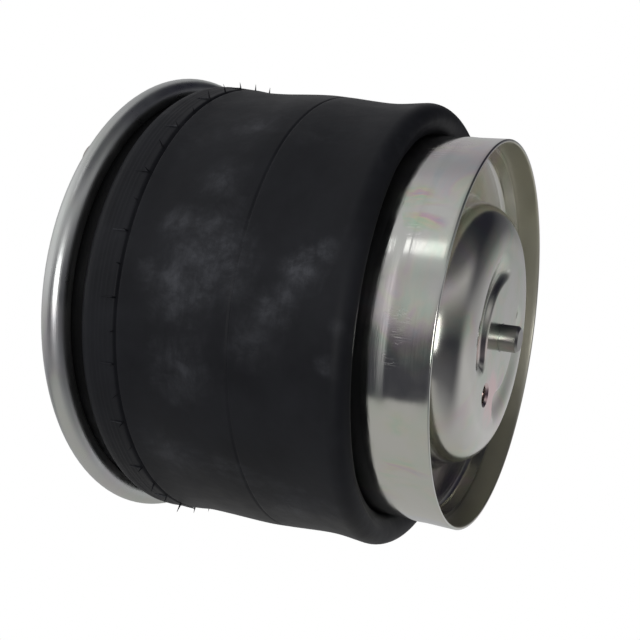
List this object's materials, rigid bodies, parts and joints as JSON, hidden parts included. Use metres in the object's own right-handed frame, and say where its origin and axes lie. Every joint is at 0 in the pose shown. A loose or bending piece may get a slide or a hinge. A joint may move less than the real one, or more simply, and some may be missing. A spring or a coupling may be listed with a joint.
{
  "type": "air suspension spring",
  "caption": "Rolling-lobe air spring: rubber bellows crimped into a round steel bead plate and rolled down over an open steel piston with a domed base.",
  "frame": {"origin": "centre of the piston's mounting face, where the locating pin stands on it", "axes": "+Z along the spring's axis, from the piston to the bead plate; +X is the upper side of the pictured spring, which lies with its axis across the picture"},
  "size_m": [0.29, 0.29, 0.268],
  "materials": {
    "plate_steel": "satin zinc plate",
    "piston_steel": "bright zinc plate with a faint iridescence",
    "stud_steel": "zinc plate",
    "pin_steel": "zinc plate",
    "nut_steel": "zinc plate",
    "tube_steel": "phosphated",
    "bead_wire": "bronze-coated steel wire",
    "bellows_rubber": "matt moulded rubber",
    "seal_rubber": "smooth rubber",
    "bump_rubber": "matt rubber"
  },
  "bodies": {
    "piston": {"piston_skirt": "piston_steel", "piston_base": "piston_steel", "locating_pin": "pin_steel", "base_weld_nut": "nut_steel", "support_tube": "tube_steel", "lower_bead_wire": "bead_wire", "end_closure": "plate_steel", "closure_seal": "seal_rubber", "bump_stop": "bump_rubber", "bump_stop_plate": "nut_steel", "centre_bolt": "nut_steel", "centre_bolt_washer": "nut_steel", "centre_weld_nut": "nut_steel"},
    "rolling_fold": {"bellows": "bellows_rubber"},
    "plate": {"bead_plate": "plate_steel", "upper_bead_wire": "bead_wire", "combi_stud": "stud_steel", "combi_stud_seal": "seal_rubber", "mounting_studs": "stud_steel", "mounting_stud_seals": "seal_rubber"}
  },
  "joints": [
    {"name": "fold_travel", "type": "slide", "parent": "piston", "child": "rolling_fold", "axis": [0, 0, 1], "range_m": [-0.02, 0.052], "stiffness_N_per_m": 20000, "springref_m": 0.00138, "deforming": ["bellows"]},
    {"name": "plate_travel", "type": "slide", "parent": "rolling_fold", "child": "plate", "axis": [0, 0, 1], "range_m": [-0.02, 0.052], "stiffness_N_per_m": 20000, "springref_m": 0.00138, "deforming": ["bellows"]}
  ],
  "couplings": [
    {"joint": "plate_travel", "follows": "fold_travel", "ratio": 1}
  ]
}
